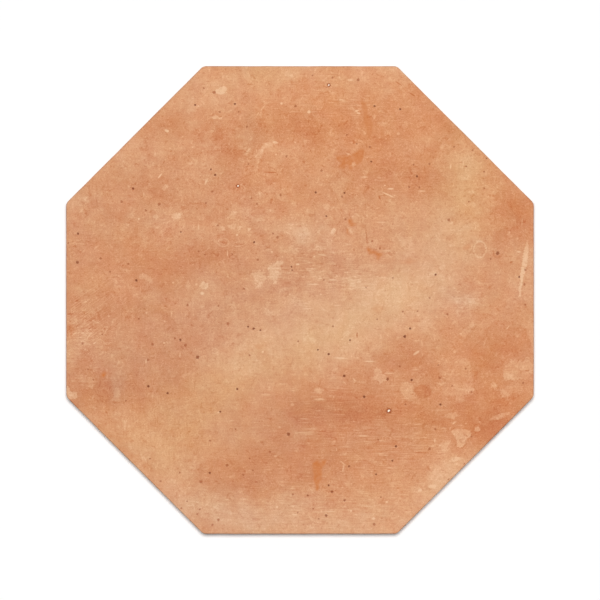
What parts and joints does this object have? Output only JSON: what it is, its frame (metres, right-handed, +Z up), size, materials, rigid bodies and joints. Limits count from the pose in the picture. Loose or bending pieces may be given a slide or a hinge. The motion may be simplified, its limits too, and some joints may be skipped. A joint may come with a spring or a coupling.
{
  "type": "octagonal terracotta floor tile",
  "caption": "Flat octagonal fired-clay floor tile with rounded corners, an eased edge round its face and sides undercut towards the back, bedded in mortar as paving.",
  "frame": {"origin": "middle of the back, on the surface that the tile lies on", "axes": "+Z up out of the face; +X and +Y each square to a side of the octagon"},
  "size_m": [0.3, 0.3, 0.02],
  "materials": {
    "terracotta": "matte"
  },
  "bodies": {
    "root": {"octagonal_tile": "terracotta"}
  },
  "joints": []
}
